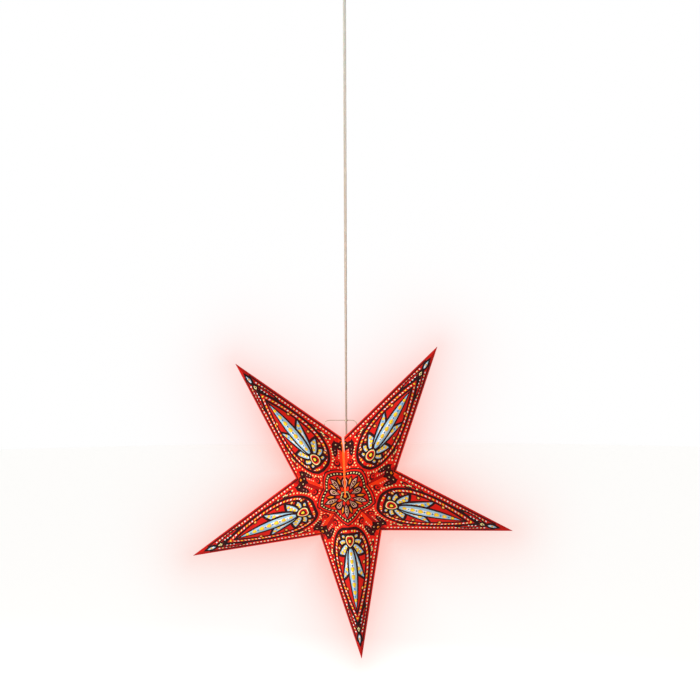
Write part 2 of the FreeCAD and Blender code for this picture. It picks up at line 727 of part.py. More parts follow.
def make_screw_groups():
    down = ((1, 0, 0), 0)
    terminal = ((1, 0, 0), 90)
    back = ((1, 0, 0), -90)
    up = ((1, 0, 0), 180)
    block_z = "post_bottom - block_height / 2"
    return [
        make_screws("terminal_screws", [
            (*down, (sign + "pole_x", "0", "holder_top + insert_top")) for sign in ("", "-")
        ]),
        make_screws("rose_block_screws", [
            (*up, (sign + "post_x", "0", "post_bottom - lug_height")) for sign in ("", "-")
        ]),
        make_screws("rose_terminal_screws", [
            (*terminal, (sign + "pole_spacing / 2", "-block_width / 2", block_z))
            for sign in ("", "-")
        ]),
        make_screws("rose_side_screws", [
            (*terminal, ("0", "-rose_radius", "side_screw_z")),
            (*back, ("0", "rose_radius", "side_screw_z")),
        ]),
    ]


def main():
    fill_sheet()
    lamp_grip = make_cord_grip(
        "lampholder_cord_grip", "grip_radius", "holder_wall", "grip_nose", "holder_top"
    )
    rose_grip = make_cord_grip(
        "rose_cord_grip", "rose_grip_radius", "rose_wall", "rose_grip_nose", "-rose_height"
    )
    rose_grip.Placement.Rotation = FreeCAD.Rotation(FreeCAD.Vector(1, 0, 0), 180)
    parts = [
        *make_points(),
        make_seam_tie("seam_tie_front", True),
        make_seam_tie("seam_tie_back", False),
        make_hanger_wire(),
        make_flex(),
        lamp_grip,
        *make_lampholder(),
        make_bulb(),
        *make_rose(),
        rose_grip,
        make_terminal_block(),
        *make_screw_groups(),
    ]
    doc.recompute()
    for thing in doc.Objects:
        if {"Invalid", "Error"} & set(thing.State):
            raise SystemExit(f"{thing.Label} did not build: {thing.State}")
    for part in parts:
        if part.Shape.isNull() or not part.Shape.isValid() or not part.Shape.Solids:
            raise SystemExit(f"{part.Label} has no sound shape")
    os.makedirs("parts", exist_ok=True)
    for part in parts:
        part.Shape.exportStep(f"parts/{part.Label}.step")
        box = part.Shape.BoundBox
        sides = " x ".join(f"{side:.1f}" for side in (box.XLength, box.YLength, box.ZLength))
        print(f"{part.Label}: {len(part.Shape.Solids)} solids, {sides} mm, {part.Shape.Volume:.0f} mm3")


main()
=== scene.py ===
# %% [markdown]
# # A paper star lantern, lit from inside
#
# The star is five folded sheets of printed paper round a small lamp. The construction
# comes from a fixed frame: every length there is real, in metres, with +Z up and the
# front of the star towards -Y. This lesson adds what the eye meets: the print, the
# glow, the flex, the wire and the light of a plain studio.

# %% Load the frame
import math

import bmesh
import bpy
from mathutils import Matrix, Vector
from mathutils.geometry import delaunay_2d_cdt


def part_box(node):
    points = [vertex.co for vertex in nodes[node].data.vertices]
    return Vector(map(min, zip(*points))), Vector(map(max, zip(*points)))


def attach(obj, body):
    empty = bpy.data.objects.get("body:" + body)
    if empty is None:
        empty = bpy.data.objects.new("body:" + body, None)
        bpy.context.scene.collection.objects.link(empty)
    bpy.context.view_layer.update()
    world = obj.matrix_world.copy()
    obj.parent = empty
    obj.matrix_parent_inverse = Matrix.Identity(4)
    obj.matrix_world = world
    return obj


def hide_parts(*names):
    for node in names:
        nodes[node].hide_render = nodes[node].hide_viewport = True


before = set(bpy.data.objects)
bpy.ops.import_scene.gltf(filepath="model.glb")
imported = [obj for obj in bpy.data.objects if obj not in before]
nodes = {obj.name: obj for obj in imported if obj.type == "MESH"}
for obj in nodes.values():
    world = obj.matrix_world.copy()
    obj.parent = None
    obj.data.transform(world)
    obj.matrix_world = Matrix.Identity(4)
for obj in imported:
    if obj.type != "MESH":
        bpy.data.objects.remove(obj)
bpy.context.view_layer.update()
print("nodes in the frame:", len(nodes))

# %% [markdown]
# ## Sizes that the print and the camera need
#
# A few driving sizes of the star are written once. The seam between the two upper
# points is open, and its spread crowds the five points a little. A heading is the
# direction of a point's axis, from +X towards +Z.

# %% Sizes of the star, in millimetres and degrees
MM = 0.001
TIP_RADIUS = 315.5
NOTCH_RADIUS = 98.4
HALF_DEPTH = 90.0
HANG_ANGLE = 4.6
SEAM_SPREAD = 2.2
HALF_POINT = (360 - SEAM_SPREAD) / 10
STAR_CENTRE = Vector((1.9, -5.0, -980.0))
HEADINGS = {
    "point_upper_right": 270 + 4 * HALF_POINT - 360,
    "point_upper_left": 270 - 4 * HALF_POINT,
    "point_left": 270 - 2 * HALF_POINT,
    "point_bottom": 270,
    "point_right": 270 + 2 * HALF_POINT,
}
LAMP = (Vector(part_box("bulb")[0]) + Vector(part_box("bulb")[1])) / 2
print("middle of the bulb, m:", tuple(round(v, 3) for v in LAMP))

# %% [markdown]
# ## The camera
#
# The photograph was taken level, a little to the right of the star's own front and
# above its centre. The picture is 700 pixels square, and 1.86 mm of the star fill one
# pixel at two metres. The flex hangs plumb, but leans a quarter of a degree in the
# picture, so the camera is rolled by that much.

# %% Make the camera
CAMERA_DISTANCE = 2000.0
CAMERA_AZIMUTH = math.radians(2.29)
CAMERA_RIGHT = 6.0
CAMERA_ABOVE = 260.4
CAMERA_ROLL = math.radians(-0.247)
MM_PER_PIXEL = 1.8608
PICTURE_PIXELS = 700
SENSOR = 36.0

toward = Vector((math.sin(CAMERA_AZIMUTH), -math.cos(CAMERA_AZIMUTH), 0))
sideways = Vector((math.cos(CAMERA_AZIMUTH), math.sin(CAMERA_AZIMUTH), 0))
camera = bpy.data.objects.new("camera", bpy.data.cameras.new("camera"))
bpy.context.scene.collection.objects.link(camera)
above = Vector((0, 0, CAMERA_ABOVE))
CAMERA_PLACE = STAR_CENTRE + toward * CAMERA_DISTANCE + sideways * CAMERA_RIGHT + above
turn = (
    Matrix.Rotation(CAMERA_AZIMUTH, 4, "Z")
    @ Matrix.Rotation(math.radians(90), 4, "X")
    @ Matrix.Rotation(CAMERA_ROLL, 4, "Z")
)
camera.matrix_world = Matrix.Translation(CAMERA_PLACE * MM) @ turn
camera.data.sensor_width = SENSOR
camera.data.lens = SENSOR * CAMERA_DISTANCE / (PICTURE_PIXELS * MM_PER_PIXEL)
bpy.context.scene.camera = camera
print("lens, mm:", round(camera.data.lens, 2))

# %% [markdown]
# ## Colour and node helpers
#
# Colours are written as sRGB hex values, as a paint chart gives them, and one function
# turns them to the linear values that Blender works with. One more function adds a
# shader node, with its settings and what goes into it.

# %% Helpers for materials
def linear(hex_colour):
    channels = [int(hex_colour[place:place + 2], 16) / 255 for place in (1, 3, 5)]
    return tuple(
        c / 12.92 if c <= 0.04045 else ((c + 0.055) / 1.055) ** 2.4 for c in channels
    ) + (1.0,)


def add(tree, kind, feeds=None, **settings):
    """Adds a node. Feeds are its inputs by name or number: a socket or a value."""
    made = tree.nodes.new("ShaderNode" + kind)
    for name, value in settings.items():
        setattr(made, name, value)
    for name, value in (feeds or {}).items():
        if isinstance(value, bpy.types.NodeSocket):
            tree.links.new(value, made.inputs[name])
        else:
            made.inputs[name].default_value = value
    return made


def new_material(name, **values):
    """A material with one Principled shader, whose plain values are set by name."""
    material = bpy.data.materials.new(name)
    material.use_nodes = True
    tree = material.node_tree
    shader = tree.nodes["Principled BSDF"]
    for socket, value in values.items():
        shader.inputs[socket.replace("_", " ")].default_value = value
    return material, tree, shader


def dress(node_name, material):
    slots = nodes[node_name].data.materials
    slots.clear()
    slots.append(material)


def noise_scale(size_mm):
    """Noise cells per metre for a grain of this size."""
    return 1000 / size_mm


print("linear value of mid grey:", round(linear("#808080")[0], 3))

# %% [markdown]
# ## The flex
#
# The lamp hangs on flat twin flex: two stranded cores side by side in a pale, slightly
# see-through sheath. A weight keeps it straight. It left its reel with a lazy twist, so
# the broad side faces us at the top and the narrow side lower down. One NURBS spline
# gives the line, and a section of two touching rounds is turned slowly along it.

# %% Run the flex from the rose to the lampholder
FLEX_WIDTH = 6.0
FLEX_THICKNESS = 3.6
GROOVE_SHARE = 0.85
TWIST_FROM = 0.12
TWIST_TO = 0.92
FLEX_ROUTE = [(0, 0, -26), (0, 0, -90), (0, 0, -480), (0, 0, -830), (0, 0, -914)]
QUARTER_TURN = math.radians(90)


def spline_points(name, route):
    """The points of the NURBS line that has this route, in mm, as its control points."""
    line = bpy.data.curves.new(name, "CURVE")
    line.dimensions = "3D"
    line.resolution_u = 24
    spline = line.splines.new("NURBS")
    spline.points.add(len(route) - 1)
    for point, place in zip(spline.points, route):
        point.co = (*(Vector(place) * MM), 1)
    spline.order_u = 3
    spline.use_endpoint_u = True
    holder = bpy.data.objects.new(name, line)
    bpy.context.scene.collection.objects.link(holder)
    bpy.context.view_layer.update()
    mesh = bpy.data.meshes.new_from_object(holder)
    points = [vertex.co.copy() for vertex in mesh.vertices]
    bpy.data.objects.remove(holder)
    return points


def twin_section(width, thickness, steps=10):
    """Two rounds side by side, as one outline, with a groove where they meet."""
    radius = thickness / 2
    reach = width / 2 - radius
    groove = math.acos(min(1, reach / radius)) * GROOVE_SHARE
    outline = []
    for side in (1, -1):
        for step in range(steps + 1):
            angle = -math.pi + groove + (2 * math.pi - 2 * groove) * step / steps
            across = reach + radius * math.cos(angle)
            outline.append(Vector((side * across, side * radius * math.sin(angle), 0)))
    return outline


def sweep(name, points, outline, turns):
    """Carries an outline in mm along points in metres, turned by an angle at each."""
    made = bmesh.new()
    rings = []
    for index, point in enumerate(points):
        before = points[max(index - 1, 0)]
        after = points[min(index + 1, len(points) - 1)]
        along = (after - before).normalized()
        side = Vector((1, 0, 0)) if abs(along.x) < 0.9 else Vector((0, 1, 0))
        side = (side - along * side.dot(along)).normalized()
        depth = along.cross(side)
        spin = turns(index / (len(points) - 1))
        ring = []
        for corner in outline:
            x = corner.x * math.cos(spin) - corner.y * math.sin(spin)
            y = corner.x * math.sin(spin) + corner.y * math.cos(spin)
            ring.append(made.verts.new(point + (side * x + depth * y) * MM))
        rings.append(ring)
    count = len(outline)
    for low, high in zip(rings, rings[1:]):
        for corner in range(count):
            following = (corner + 1) % count
            made.faces.new((low[corner], low[following], high[following], high[corner]))
    made.faces.new(list(reversed(rings[0])))
    made.faces.new(rings[-1])
    bmesh.ops.recalc_face_normals(made, faces=made.faces)
    mesh = bpy.data.meshes.new(name)
    made.to_mesh(mesh)
    made.free()
    mesh.shade_smooth()
    piece = bpy.data.objects.new(name, mesh)
    bpy.context.scene.collection.objects.link(piece)
    return piece


def twist(share):
    """How far the section has turned at this share of the flex's length."""
    return QUARTER_TURN * min(1, max(0, (share - TWIST_FROM) / (TWIST_TO - TWIST_FROM)))


flex_line = spline_points("flex_line", FLEX_ROUTE)
section = twin_section(FLEX_WIDTH, FLEX_THICKNESS)
flex = sweep("flat_twin_flex", flex_line, section, twist)
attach(flex, "root")
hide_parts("flex")

# %% [markdown]
# Pale PVC sheath, extruded: smooth, a little glossy and a little translucent, with the
# faint unevenness of the copper strands below. Its colour carries painted light: warmer
# at the lower end, for the lantern's light, and cooler at the upper one, for the room's daylight.

# %% Finish of the flex
STRAND_MM = 14
pvc, pvc_tree, pvc_shader = new_material(
    "extruded_pvc", Base_Color=linear("#CFC9BE"), Roughness=0.34, IOR=1.53,
    Subsurface_Weight=0.25, Subsurface_Scale=0.002,
)
pvc_place = add(pvc_tree, "TexCoord")
strands = add(pvc_tree, "TexNoise", {
    "Vector": pvc_place.outputs["Object"], "Scale": noise_scale(STRAND_MM), "Detail": 3.0,
})
pvc_shade = add(pvc_tree, "MapRange", {
    "Value": strands.outputs["Fac"], "From Min": 0.3, "From Max": 0.7, "To Min": 0.93, "To Max": 1.05,
})
pvc_where = add(pvc_tree, "SeparateXYZ", {"Vector": pvc_place.outputs["Object"]})
# Painted light: the sheath's colour runs from warm low down to cool high up.
pvc_painted_light_height = add(pvc_tree, "MapRange", {
    "Value": pvc_where.outputs["Z"], "From Min": -0.9, "From Max": -0.1,
})
pvc_painted_light_tint = add(pvc_tree, "ValToRGB", {"Fac": pvc_painted_light_height.outputs["Result"]})
pvc_painted_light_tint.color_ramp.elements[0].color = linear("#BFA290")
pvc_painted_light_tint.color_ramp.elements[1].color = linear("#D6D3C7")
pvc_painted_light_tint.color_ramp.elements.new(0.55).color = linear("#C9B6A3")
pvc_mixed = add(pvc_tree, "VectorMath", {
    0: pvc_painted_light_tint.outputs["Color"], "Scale": pvc_shade.outputs["Result"],
}, operation="SCALE")
pvc_tree.links.new(pvc_mixed.outputs["Vector"], pvc_shader.inputs["Base Color"])
pvc_bump = add(pvc_tree, "Bump", {"Height": strands.outputs["Fac"], "Distance": 0.0001, "Strength": 0.4})
pvc_tree.links.new(pvc_bump.outputs["Normal"], pvc_shader.inputs["Normal"])
flex.data.materials.append(pvc)

# %% [markdown]
# ## The print: how a flat drawing is laid out
#
# Each point of the star has two flat sides in front and two behind. They meet at a
# ridge that runs from the star's centre to the tip. The print is mirrored at the ridge,
# so only one half is drawn, in millimetres: `s` runs along the ridge, and `w` stands
# across it, towards the fold at the star's outline. A half ends at the valley on one
# side and at that fold on the other, and they meet at the notch.

# %% The triangle of one flat side
WEDGE = math.radians(HALF_POINT)
RIDGE = math.hypot(TIP_RADIUS, HALF_DEPTH)
VALLEY = math.hypot(NOTCH_RADIUS, HALF_DEPTH)
FOLD = math.dist(
    (TIP_RADIUS, 0), (NOTCH_RADIUS * math.cos(WEDGE), NOTCH_RADIUS * math.sin(WEDGE))
)
NOTCH_S = (VALLEY ** 2 + RIDGE ** 2 - FOLD ** 2) / (2 * RIDGE)
NOTCH_W = math.sqrt(VALLEY ** 2 - NOTCH_S ** 2)
HUB = Vector((0, 0))
NOTCH = Vector((NOTCH_S, NOTCH_W))
TIP = Vector((RIDGE, 0))
VALLEY_ANGLE = math.atan2(NOTCH_W, NOTCH_S)
print("flat side, mm: ridge", round(RIDGE, 1), "notch at", round(NOTCH_S, 1), round(NOTCH_W, 1))

# %% [markdown]
# The ornament is a common kind of palmette: lancet petals fan out from a foot on the
# ridge inside a pointed field, a beaded collar goes round the star's centre, seeds and
# beads follow the borders, and a chain of drops runs out to the tip. Every motif is a
# closed outline with an ink. What is drawn later lies on top.

# %% Outlines to draw with
drawing = []


def area(loop):
    return sum(a.x * b.y - b.x * a.y for a, b in zip(loop, loop[1:] + loop[:1])) / 2


def leftward(loop):
    """The same loop, walked so that its inside lies on the left."""
    return loop if area(loop) > 0 else loop[::-1]


def ink(colour, outline):
    drawing.append((colour, leftward([Vector((p[0], p[1])) for p in outline])))


def at(start, degrees, distance):
    angle = math.radians(degrees)
    return Vector(start) + Vector((math.cos(angle), math.sin(angle))) * distance


def lancet(start, degrees, length, half_width, bend=0.0, widest=0.5, steps=11):
    """A pointed petal. Its middle line bows sideways by the bend."""
    along = at((0, 0), degrees, 1)
    across = Vector((-along.y, along.x))
    power = math.log(0.5) / math.log(widest)
    sides = ([], [])
    for step in range(steps + 1):
        share = step / steps
        middle = Vector(start) + along * length * share + across * bend * math.sin(math.pi * share)
        half = half_width * max(0, math.sin(math.pi * share ** power)) ** 0.85
        if step in (0, steps):
            half = 0.05
        sides[0].append(middle - across * half)
        sides[1].append(middle + across * half)
    return sides[0] + sides[1][::-1]


def disc(centre, radius, steps=12):
    return [at(centre, 360 * step / steps, radius) for step in range(steps)]


def arc_band(centre, inner, outer, first=-4, last=60, steps=12):
    angles = [first + (last - first) * step / steps for step in range(steps + 1)]
    near = [at(centre, angle, inner) for angle in angles]
    far = [at(centre, angle, outer) for angle in reversed(angles)]
    return near + far


def strip(start, end, near, far):
    """A straight strip beside the line from start to end, between two distances."""
    along = (Vector(end) - Vector(start)).normalized()
    across = Vector((along.y, -along.x))
    return [Vector(start) + across * near, Vector(end) + across * near,
            Vector(end) + across * far, Vector(start) + across * far]


def beads(start, end, offset, spacing, radius, inks):
    """Round beads beside the line from start to end, in turn in each ink."""
    line = Vector(end) - Vector(start)
    along = line.normalized()
    across = Vector((along.y, -along.x))
    count = int(line.length // spacing)
    for index in range(count + 1):
        centre = Vector(start) + along * spacing * index + across * offset
        ink(inks[index % len(inks)], disc(centre, radius, 8))


print("drawing helpers are ready")

# %% [markdown]
# A petal is built up as a block printer would: a wide dark key line, the pale blue
# field, a lighter heart, then yellow seeds with orange rims and small blue beads
# between them. A dark leaf is simpler: a black lens with a coloured vein and dots.

# %% A petal and a leaf
KEY_LINE = 4.6
SEED_RIM = 1.0


def blue_petal(start, degrees, length, half_width, bend=0.0, seeds=5, widest=0.45):
    base = at(start, degrees, -KEY_LINE * 1.4)
    ink("black", lancet(base, degrees, length + KEY_LINE * 3.2, half_width + KEY_LINE, bend, widest, 16))
    ink("blue", lancet(start, degrees, length, half_width, bend, widest, 14))
    heart = at(start, degrees, length * 0.08)
    ink("white", lancet(heart, degrees, length * 0.66, half_width * 0.5, bend * 0.8, widest, 12))
    along = at((0, 0), degrees, 1)
    across = Vector((-along.y, along.x))
    for index in range(seeds):
        share = (index + 0.9) / (seeds + 0.8)
        middle = Vector(start) + along * length * share + across * bend * math.sin(math.pi * share)
        size = half_width * 0.44 * (0.5 + 0.5 * math.sin(math.pi * share))
        ink("orange", disc(middle, size + SEED_RIM, 12))
        ink("yellow", disc(middle, size, 12))
        between = share + 0.5 / (seeds + 0.8)
        if index < seeds - 1:
            middle = Vector(start) + along * length * between + across * bend * math.sin(math.pi * between)
            ink("mid_blue", disc(middle, size * 0.6, 8))


def dark_leaf(start, degrees, length, half_width, vein="pink", dots=3, bend=0.0):
    ink("black", lancet(start, degrees, length, half_width, bend, 0.42, 12))
    inner = at(start, degrees, length * 0.16)
    ink(vein, lancet(inner, degrees, length * 0.62, half_width * 0.45, bend * 0.7, 0.42, 9))
    along = at((0, 0), degrees, 1)
    across = Vector((-along.y, along.x))
    for index in range(dots):
        share = 0.3 + 0.36 * index / max(1, dots - 1)
        middle = Vector(start) + along * length * share + across * bend * math.sin(math.pi * share)
        ink("maroon", disc(middle, half_width * 0.2, 6))


print("petal layers: key line, field, heart, seeds")

# %% [markdown]
# First come the borders. Beside the outer fold go a dark line, beads and a garland of
# dark leaves that point to the tip. Beside the valley go beads and one long leaf, and a
# trefoil fills the corner at the notch.

# %% Draw the borders
BORDER_LINE = (3.6, 7.4)
BORDER_BEADS = 10.6
VALLEY_BEADS = 8.6
PLAIN_TIP = 0.14
GARLAND_STEP = 0.066
fold_run = TIP - NOTCH
fold_heading = math.degrees(math.atan2(fold_run.y, fold_run.x))
valley_heading = math.degrees(VALLEY_ANGLE)
ink("maroon", strip(NOTCH - fold_run, TIP - fold_run * PLAIN_TIP, *BORDER_LINE))
beads(NOTCH * 0.62, NOTCH * 0.84, VALLEY_BEADS, 5.6, 1.4, ("cream", "pink"))
beads(NOTCH + fold_run * 0.045, NOTCH + fold_run * 0.8, BORDER_BEADS, 6.6, 1.7, ("cream", "white"))

inward = Vector((fold_run.y, -fold_run.x)).normalized()
valley_inward = Vector((NOTCH.y, -NOTCH.x)).normalized()
for step in range(3):
    foot = NOTCH + fold_run * (0.07 + GARLAND_STEP * step) + inward * (20.0 - step)
    dark_leaf(foot, fold_heading - 16, 23 - step, 5.8 - 0.5 * step, "red", 2)
    ink("cream", disc(foot + inward * 1.5, 1.9, 8))
dark_leaf(NOTCH * 0.62 + valley_inward * 16.0, valley_heading - 1, 40, 5.6, "maroon", 0)
for reach in (0.68, 0.74, 0.8):
    ink("pink", disc(NOTCH * reach + valley_inward * 15.8, 1.0, 6))
dark_leaf(NOTCH + fold_run * 0.55 + inward * 14.6, fold_heading - 2, 66, 5.6, "red", 4)

corner = NOTCH * 0.9 + inward * 1.5
for spread, reach in ((-38, 22), (0, 17), (38, 22)):
    heading = 180 + valley_heading + 26 + spread
    ink("black", lancet(corner, heading, reach + 2, 6.6, 0, 0.62, 10))
    ink("maroon", lancet(at(corner, heading, 5), heading, reach - 7, 2.8, 0, 0.62, 8))
    ink("cream", disc(at(corner, heading, reach * 0.66), 1.3, 8))
ink("black", disc(corner, 5.6))
ink("orange", disc(corner, 2.2))
print("outlines so far:", len(drawing))

# %% [markdown]
# Next, the pointed field: a black band, then slanting seeds on red, then a second black
# line round the ground of the fan.

# %% Draw the pointed field
FIELD_START = 60
FIELD_LENGTH = 204
FIELD_HALF = 50
FIELD_WIDEST = 0.34
SEED_STEP = 6.2
SEED_INKS = ("cream", "yellow", "white")


def field_outline(inset, steps):
    """The field's outline, moved inwards by the inset."""
    start = (FIELD_START + inset * 1.1, 0)
    return lancet(start, 0, FIELD_LENGTH - inset * 3.6, FIELD_HALF - inset, 0, FIELD_WIDEST, steps)


ink("black", field_outline(0, 36))
ink("red", field_outline(5.3, 36))
ink("black", field_outline(10.4, 36))
ink("red", field_outline(14.2, 36))
SEED_LINE_STEPS = 120
seed_line = field_outline(7.6, SEED_LINE_STEPS)[SEED_LINE_STEPS + 1:][::-1]
travelled = 0.0
seed_index = 0
for here, there in zip(seed_line, seed_line[1:]):
    travelled += (there - here).length
    if travelled >= SEED_STEP:
        travelled = 0.0
        heading = math.degrees(math.atan2(there.y - here.y, there.x - here.x))
        foot = at(there, heading + 150, 2.2)
        ink(SEED_INKS[seed_index % len(SEED_INKS)], lancet(foot, heading - 32, 4.8, 1.5, 0, 0.5, 5))
        seed_index += 1
outer_line = field_outline(-5.0, SEED_LINE_STEPS)[SEED_LINE_STEPS + 1:][::-1]
travelled = 0.0
for here, there in zip(outer_line, outer_line[1:]):
    travelled += (there - here).length
    if travelled >= SEED_STEP and there.x < FIELD_START + FIELD_LENGTH * 0.36:
        travelled = 0.0
        ink("cream", disc(there, 1.7, 8))
print("seeds:", seed_index, "outlines so far:", len(drawing))

# %% [markdown]
# Now the fan itself. The middle petal lies along the ridge, so the fold halves it. The
# side petals shorten as they spread, and bow back towards the tip. Drops fill the gaps
# between their ends.

# %% Draw the fan of petals
FAN_FOOT = (88, 0)
SIDE_PETALS = (
    # direction, start distance, length, half width, bend, seeds
    (102, 12, 10, 4.4, -1.0, 1),
    (70, 12, 19, 5.6, -2.0, 2),
    (43, 13, 34, 6.6, -3.5, 3),
    (18.5, 14, 73, 7.4, -5.0, 5),
)
DROPS = ((85, 30), (55, 40), (30, 62), (11.5, 104))
for direction, begin, length, half, bend, seeds in SIDE_PETALS:
    blue_petal(at(FAN_FOOT, direction, begin), direction, length, half, bend, seeds)
blue_petal((FAN_FOOT[0] + 11, 0), 0, 122, 9.6, 0, 7, 0.4)
for direction, reach in DROPS:
    spot = at(FAN_FOOT, direction, reach)
    ink("black", disc(spot, 4.6, 10))
    ink("orange", disc(spot, 2.8, 10))
    ink("cream", disc(spot, 1.3, 8))
ink("black", disc(FAN_FOOT, 15.0, 24))
ink("cream", disc(FAN_FOOT, 11.0, 24))
ink("red", disc(FAN_FOOT, 9.2, 24))
ink("black", disc(FAN_FOOT, 6.2, 18))
ink("yellow", disc(FAN_FOOT, 3.4, 14))
print("outlines so far:", len(drawing))

# %% [markdown]
# Towards the tip the ornament thins to a chain: a lozenge, a drop and a bud. Round the
# star's centre goes a beaded collar that crosses every fold, with short petals inside
# it and a boss in the middle. A dark curl with a few beads fills each corner outside it.

# %% Draw the chain and the collar
COLLAR = 48
BOSS = 8.8
LOZENGE = 266
ink("black", [(LOZENGE - 9, 0), (LOZENGE, -7), (LOZENGE + 9, 0), (LOZENGE, 7)])
ink("cream", [(LOZENGE - 5, 0), (LOZENGE, -3.8), (LOZENGE + 5, 0), (LOZENGE, 3.8)])
ink("maroon", disc((LOZENGE, 0), 1.5, 8))
blue_petal((LOZENGE + 11, 0), 0, 18, 3.0, 0, 1)
for place_s in (LOZENGE - 22, LOZENGE - 16, LOZENGE - 10):
    ink("white", disc((place_s, 12.5 - (place_s - LOZENGE + 22) * 0.4), 1.5, 8))

ink("black", arc_band(HUB, COLLAR + 7.4, COLLAR + 10.0))
ink("black", arc_band(HUB, COLLAR - 3.8, COLLAR + 3.8))
for step in range(6):
    ink("cream", disc(at(HUB, step * valley_heading / 5, COLLAR), 1.6, 8))
for angle in (0, valley_heading):
    ink("black", lancet(at(HUB, angle, 10), angle, 34, 8.0, 0, 0.6, 12))
    ink("pink", lancet(at(HUB, angle, 16), angle, 23, 4.6, 0, 0.6, 12))
    ink("maroon", lancet(at(HUB, angle, 18), angle, 19, 3.2, 0, 0.6, 12))
    for reach in (24, 29, 34):
        ink("cream", disc(at(HUB, angle, reach), 1.2, 8))
ink("black", lancet(at(HUB, valley_heading / 2, 18), valley_heading / 2, 25, 5.6, 0, 0.5, 10))
ink("orange", lancet(at(HUB, valley_heading / 2, 24), valley_heading / 2, 15, 2.1, 0, 0.5, 8))
ink("black", disc(HUB, 11.5, 36))
for step in range(3):
    ink("cream", disc(at(HUB, step * valley_heading / 2, BOSS), 1.1, 8))
ink("maroon", disc(HUB, 6.0, 24))
ink("orange", disc(HUB, 3.0, 18))
CURL = Vector((61, 35))
CURL_OPENS = 40
CURL_BEADS = 9.8
ink("black", disc(CURL, 7.0, 18))
ink("red", disc(at(CURL, CURL_OPENS, 1.5), 4.6, 14))
ink("black", disc(at(CURL, CURL_OPENS, 2.6), 2.0, 10))
for step in range(6):
    ink("cream", disc(at(CURL, CURL_OPENS + 130 + 40 * step, CURL_BEADS), 1.2, 8))
print("outlines of one half print:", len(drawing))

# %% [markdown]
# ## Inks on paper
#
# The paper is heavy, hand made and matt: its long fibres give it a slightly cloudy
# colour and a soft tooth. The inks are screen printed, so they lie flat. The lamp
# inside shines through all but the darkest, so each ink also gives off its own colour,
# strongest near the bulb and weaker towards the tips.

# %% Make a material for each ink
FIBRE_MM = 2.2
TOOTH_MM = 0.7
PAPER_ROUGHNESS = 0.85
PAPER_IOR = 1.45
PAPER_SHEEN = 0.2
GLOW_NEAR = 60 * MM
GLOW_FAR = 330 * MM


def printed_paper(name, surface, shade, glow, strength, floor=0.22):
    material, tree, shader = new_material(
        name, Roughness=PAPER_ROUGHNESS, IOR=PAPER_IOR, Specular_IOR_Level=PAPER_SHEEN,
        Emission_Color=linear(glow),
    )
    place = add(tree, "TexCoord")
    fibres = add(tree, "TexNoise", {
        "Vector": place.outputs["Object"], "Scale": noise_scale(FIBRE_MM * 8),
        "Detail": 8.0, "Roughness": 0.7,
    })
    cloud = add(tree, "ValToRGB", {"Fac": fibres.outputs["Fac"]})
    cloud.color_ramp.elements[0].position = 0.34
    cloud.color_ramp.elements[0].color = linear(shade)
    cloud.color_ramp.elements[1].position = 0.66
    cloud.color_ramp.elements[1].color = linear(surface)
    tree.links.new(cloud.outputs["Color"], shader.inputs["Base Color"])
    tooth = add(tree, "TexNoise", {
        "Vector": place.outputs["Object"], "Scale": noise_scale(TOOTH_MM * 2), "Detail": 4.0,
    })
    bump = add(tree, "Bump", {"Height": tooth.outputs["Fac"], "Distance": 0.00012, "Strength": 0.5})
    tree.links.new(bump.outputs["Normal"], shader.inputs["Normal"])
    # Painted light: the ink glows by its distance from the bulb, for the lamp's light coming through the
    # paper.
    position = add(tree, "NewGeometry")
    from_lamp = add(
        tree, "VectorMath", {0: position.outputs["Position"], 1: LAMP}, operation="DISTANCE",
    )
    falloff = add(tree, "MapRange", {
        "Value": from_lamp.outputs["Value"], "From Min": GLOW_NEAR, "From Max": GLOW_FAR,
        "To Min": 1.0, "To Max": floor,
    }, interpolation_type="SMOOTHSTEP")
    patch = add(tree, "MapRange", {
        "Value": fibres.outputs["Fac"], "From Min": 0.3, "From Max": 0.7, "To Min": 0.82, "To Max": 1.15,
    })
    level = add(
        tree, "Math", {0: falloff.outputs["Result"], 1: patch.outputs["Result"]}, operation="MULTIPLY",
    )
    lit = add(tree, "Math", {0: level.outputs["Value"], 1: strength}, operation="MULTIPLY")
    tree.links.new(lit.outputs["Value"], shader.inputs["Emission Strength"])
    return material


INKS = {
    # The bare paper gets the strongest painted glow of all.
    "inside": printed_paper("unprinted_paper", "#F2A05A", "#E08040", "#FF6A1E", 0.9, 0.5),
    "red": printed_paper("red_ink", "#C4160E", "#AA0E08", "#FF1E04", 0.40, 0.17),
    # A darker and a brighter copy of the red ink: painted shade and painted light beside the valleys.
    "painted_shade_red": printed_paper("red_ink_painted_shade_over_glue_tab", "#A60E0A", "#8E0A07", "#C81004", 0.22, 0.12),
    "painted_light_red": printed_paper("red_ink_painted_light_beside_valley", "#CE2210", "#B8180A", "#FF3A06", 0.52, 0.22),
    "maroon": printed_paper("maroon_ink", "#480C0E", "#380808", "#A01408", 0.09),
    "black": printed_paper("black_ink", "#220608", "#180405", "#8C0C06", 0.07),
    "blue": printed_paper("pale_blue_ink", "#A9CFE0", "#8DB9D2", "#CFE0E8", 0.14),
    "mid_blue": printed_paper("mid_blue_ink", "#5E97BE", "#4F86AE", "#7FB0D0", 0.10),
    "white": printed_paper("white_ink", "#F4F2EA", "#E6E6E0", "#FFF2E0", 0.20),
    "cream": printed_paper("cream_ink", "#F6E6A8", "#EBD68C", "#FFE080", 0.24),
    "yellow": printed_paper("yellow_ink", "#F8DC3C", "#F0C828", "#FFD820", 0.26),
    "orange": printed_paper("orange_ink", "#F28A1C", "#E07814", "#FF8A14", 0.26),
    "pink": printed_paper("pink_ink", "#F0B8A8", "#E2A090", "#FFB0A0", 0.18),
}
INK_NAMES = list(INKS)
print("inks:", ", ".join(INK_NAMES))
